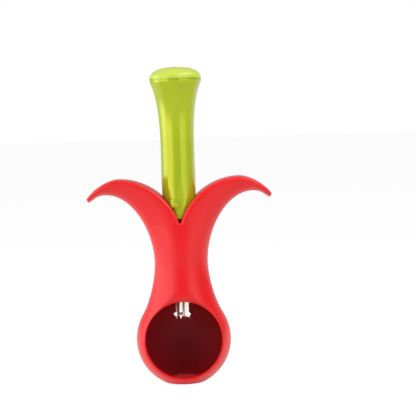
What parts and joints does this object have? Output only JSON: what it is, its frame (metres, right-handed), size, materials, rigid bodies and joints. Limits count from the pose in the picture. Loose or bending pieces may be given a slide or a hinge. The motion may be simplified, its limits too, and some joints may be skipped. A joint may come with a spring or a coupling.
{
  "type": "cherry pitter",
  "caption": "Hand cherry pitter with finger wings, a round cup with a window and a pit outlet, and a sprung thumb plunger that drives a toothed rod.",
  "frame": {"origin": "centre of the pit outlet in the plane of the cup's foot ring, on the plunger's axis", "axes": "+Z along the plunger towards the thumb cap, -Y out of the cup's window, +X to the right seen from the front"},
  "size_m": [0.0826, 0.0352, 0.1412],
  "materials": {
    "shell_red": "satin red ABS",
    "plunger_green": "glossy lime green ABS",
    "rod_steel": "polished stainless steel",
    "spring_steel": "drawn stainless spring wire",
    "bush_white": "natural acetal",
    "wiper_silicone": "grey silicone",
    "holder_black": "black glass filled nylon"
  },
  "bodies": {
    "body": {"front_shell": "shell_red", "rear_shell": "shell_red", "guide_bush": "bush_white", "wiper_ring": "wiper_silicone", "spring_washer": "spring_steel", "return_spring": "spring_steel"},
    "plunger": {"plunger_stem": "plunger_green", "thumb_cap": "plunger_green", "rod_holder": "holder_black", "rod_pin": "spring_steel", "pitting_rod": "rod_steel"}
  },
  "joints": [
    {"name": "plunger_slide", "type": "slide", "parent": "body", "child": "plunger", "axis": [0, 0, -1], "range_m": [0, 0.028], "stiffness_N_per_m": 300, "springref_m": -0.006, "deforming": ["return_spring"]}
  ]
}
